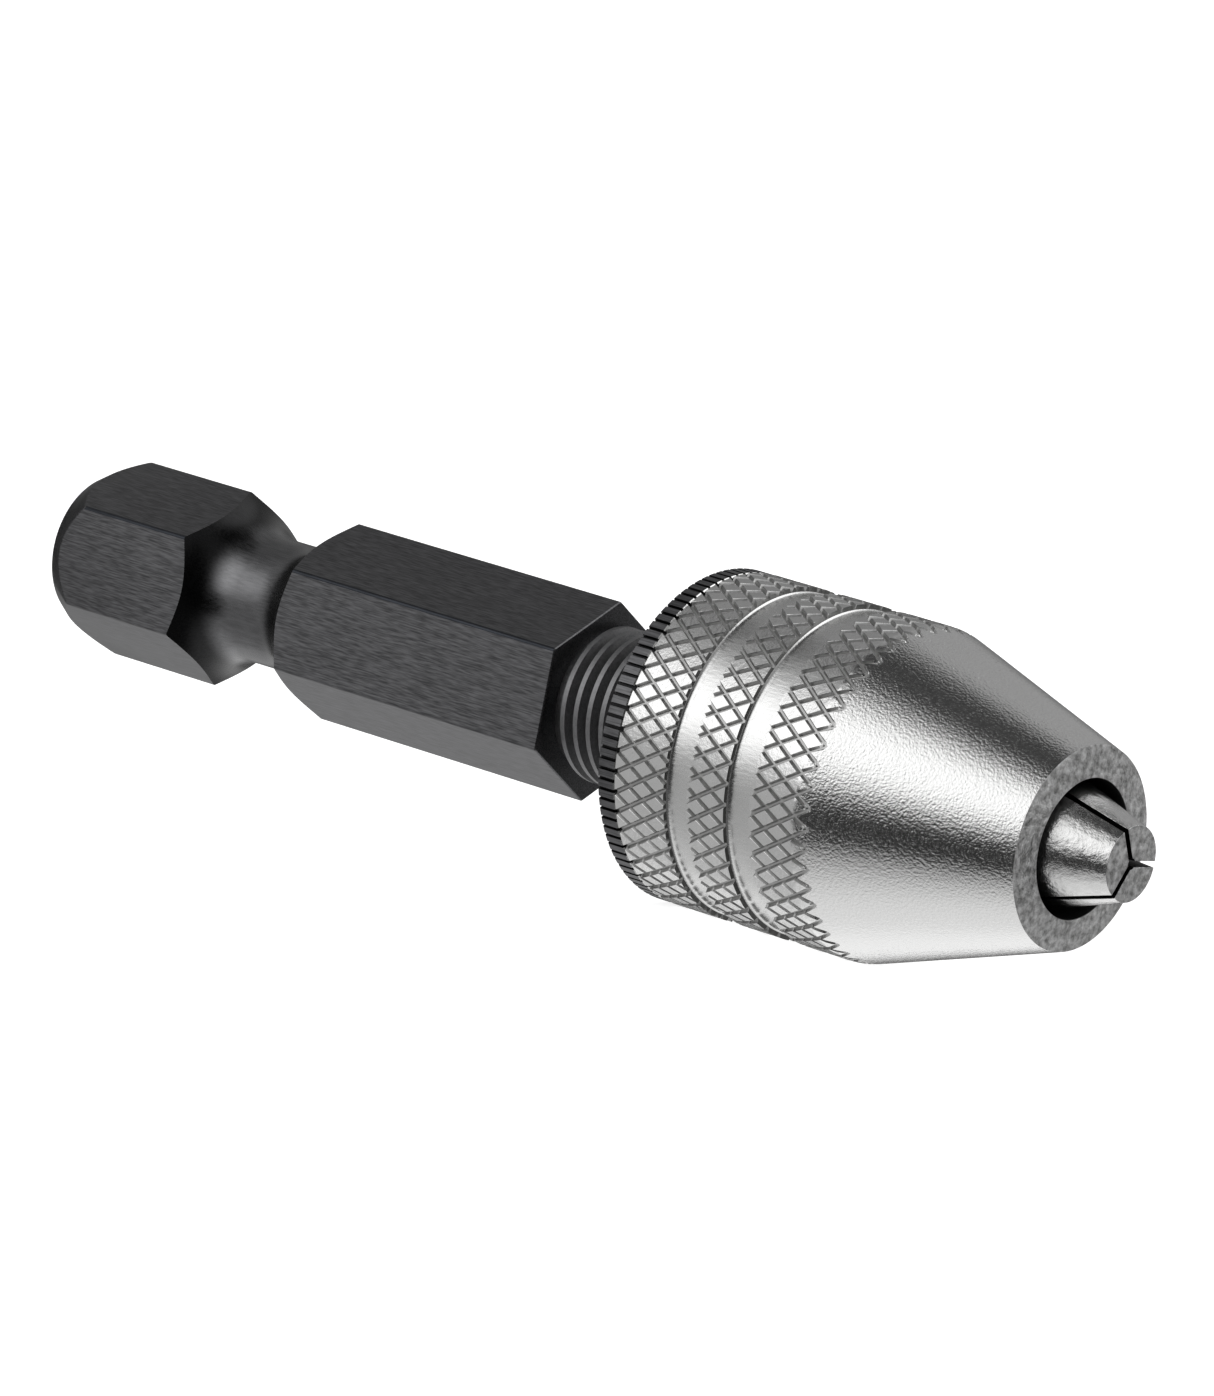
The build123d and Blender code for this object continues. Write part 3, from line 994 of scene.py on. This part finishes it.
# Lengths here are in metres
FLOOR_SIZE = 6.0
FLOOR_GLOW = 0.85
KEY_DIRECTION = Vector((-0.35, -0.83, 0.42))
KEY_AIM = Vector((0.03, 0, 0))
KEY_DISTANCE = 0.6
KEY_SIZE = (0.34, 0.3)
KEY_RADIANCE = 0.3
CAMERA_PLACE = Vector((0.22961, -0.25611, 0.04307))

# The camera's turn from +Y towards -X, its tilt down and its roll, and its lens in millimetres
CAMERA_AZIMUTH = radians(38.6334)
CAMERA_TILT = radians(7.4521)
CAMERA_ROLL = radians(11.0974)
CAMERA_LENS = 239.53

# The studio's grey by how far a direction points up: (height, grey)
ROOM = (
    (-1, 1.0), (-0.9, 0.82), (-0.75, 0.52), (-0.63, 0.46),
    (-0.45, 0.46), (-0.13, 0.47), (0.3, 0.38), (1, 0.4),
)

# Patches of the studio, later ones over earlier ones: middle and half size of the
# directions they fill, how soft their edge is, and their grey
PATCHES = {
    "white table behind": ((-0.35, 0.6, -0.75), (0.5, 0.5, 0.35), 0.35, 1.15),
    "dim wall behind": ((-0.75, 0.5, 0.5), (0.35, 0.4, 0.4), 0.35, 0.25),
    "dark ceiling": ((0.0, -0.03, 0.97), (0.68, 0.36, 0.4), 0.35, 0.05),
    "front panel": ((-0.33, -0.81, 0.44), (0.6, 0.44, 0.48), 0.3, 1.35),
    "dim table left": ((-0.72, 0.45, -0.55), (0.2, 0.3, 0.25), 0.3, 0.62),
    "dark front strip": ((0.0, -0.94, -0.36), (0.42, 0.5, 0.3), 0.35, 0.03),
    "dark front right": ((0.85, -0.75, -0.12), (0.72, 0.75, 0.78), 0.25, 0.035),
    "dim below right": ((0.75, -0.1, -0.65), (0.4, 0.75, 0.42), 0.35, 0.12),
    "grey right": ((1.0, -0.04, 0.05), (0.25, 0.4, 0.5), 0.35, 0.42),
    "dim back right": ((0.72, 0.86, -0.16), (0.3, 0.3, 0.3), 0.3, 0.15),
    "dark left end": ((-1.0, 0.2, 0.0), (0.22, 0.6, 0.5), 0.3, 0.06),
    "dark back": ((-0.6, 0.78, -0.18), (0.35, 0.2, 0.4), 0.3, 0.11),
    "back panel": ((0.43, 0.43, 0.78), (0.44, 0.42, 0.35), 0.25, 1.6),
}


def make_floor():
    """A plain white sheet that the chuck lies on, left out of the reflections in the metal."""
    bm = bmesh.new()
    half = FLOOR_SIZE / 2
    low = cad_box[0][2]
    corners = [bm.verts.new((x * half, y * half, low)) for x, y in ((-1, -1), (1, -1), (1, 1), (-1, 1))]
    bm.faces.new(corners)
    mesh = bpy.data.meshes.new("floor")
    bm.to_mesh(mesh)
    bm.free()
    floor = bpy.data.objects.new("floor", mesh)
    bpy.context.scene.collection.objects.link(floor)
    material, nodes, _ = new_material("floor_white")
    shader = nodes["Principled BSDF"]
    shader.inputs["Base Color"].default_value = (0.9, 0.9, 0.9, 1)
    shader.inputs["Roughness"].default_value = 0.9
    shader.inputs["Emission Color"].default_value = (1, 1, 1, 1)
    shader.inputs["Emission Strength"].default_value = FLOOR_GLOW
    mesh.materials.append(material)
    floor.visible_glossy = False


def make_key_light():
    """A rectangular soft light, up in front of the chuck and aimed at its sleeve."""
    light = bpy.data.lights.new("key", "AREA")
    light.shape = "RECTANGLE"
    light.size, light.size_y = KEY_SIZE
    light.energy = KEY_RADIANCE * pi * light.size * light.size_y
    lamp = bpy.data.objects.new("key", light)
    lamp.location = KEY_AIM + KEY_DIRECTION.normalized() * KEY_DISTANCE
    lamp.rotation_euler = KEY_DIRECTION.to_track_quat("Z", "Y").to_euler()
    bpy.context.scene.collection.objects.link(lamp)


def room_ramp(nodes, links, direction):
    """The room's grey by height."""
    split = nodes.new("ShaderNodeSeparateXYZ")
    links.new(direction, split.inputs[0])
    height = nodes.new("ShaderNodeMapRange")
    height.inputs["From Min"].default_value = -1
    links.new(split.outputs["Z"], height.inputs["Value"])
    ramp = nodes.new("ShaderNodeValToRGB")
    elements = ramp.color_ramp.elements
    while len(elements) < len(ROOM):
        elements.new(0.5)
    for element, (up, grey) in zip(elements, ROOM):
        element.position = (up + 1) / 2
        element.color = (grey, grey, grey, 1)
    links.new(height.outputs["Result"], ramp.inputs["Fac"])
    return ramp.outputs["Color"]


def add_patch(nodes, links, direction, colour, middle, half_size, softness, grey):
    """Lay one soft patch of grey over the studio's colour so far. Returns the new colour."""
    away = direction
    for operation, values in (("SUBTRACT", middle), ("DIVIDE", half_size), ("LENGTH", None)):
        step = nodes.new("ShaderNodeVectorMath")
        step.operation = operation
        links.new(away, step.inputs[0])
        if values:
            step.inputs[1].default_value = values
        away = step.outputs["Value" if operation == "LENGTH" else "Vector"]
    share = nodes.new("ShaderNodeMapRange")
    share.interpolation_type = "SMOOTHSTEP"
    share.inputs["From Min"].default_value = 1 + softness
    share.inputs["From Max"].default_value = 1 - softness
    links.new(away, share.inputs["Value"])
    mix = nodes.new("ShaderNodeMix")
    mix.data_type = "RGBA"
    links.new(share.outputs["Result"], mix.inputs["Factor"])
    links.new(colour, mix.inputs["A"])
    mix.inputs["B"].default_value = (grey, grey, grey, 1)
    return mix.outputs["Result"]


def make_world():
    """A plain studio: a grey room over a white table, with soft panels and dark screens in it."""
    world = bpy.data.worlds.new("studio")
    world.use_nodes = True
    bpy.context.scene.world = world
    nodes, links = world.node_tree.nodes, world.node_tree.links
    direction = nodes.new("ShaderNodeTexCoord").outputs["Generated"]
    colour = room_ramp(nodes, links, direction)
    for middle, half_size, softness, grey in PATCHES.values():
        colour = add_patch(nodes, links, direction, colour, middle, half_size, softness, grey)
    links.new(colour, nodes["Background"].inputs["Color"])


def make_camera():
    """A long lens that looks at the chuck from in front of its jaws, to their left."""
    camera = bpy.data.cameras.new("camera")
    camera.sensor_width = 36
    camera.lens = CAMERA_LENS
    camera.clip_start = 0.01
    eye = bpy.data.objects.new("camera", camera)
    azimuth = Matrix.Rotation(CAMERA_AZIMUTH, 4, "Z")
    tilt = Matrix.Rotation(pi / 2 - CAMERA_TILT, 4, "X")
    roll = Matrix.Rotation(CAMERA_ROLL, 4, "Z")
    eye.matrix_world = Matrix.Translation(CAMERA_PLACE) @ azimuth @ tilt @ roll
    bpy.context.scene.collection.objects.link(eye)
    bpy.context.scene.camera = eye


make_floor()
make_key_light()
make_world()
make_camera()
bpy.context.scene.view_settings.view_transform = "Standard"
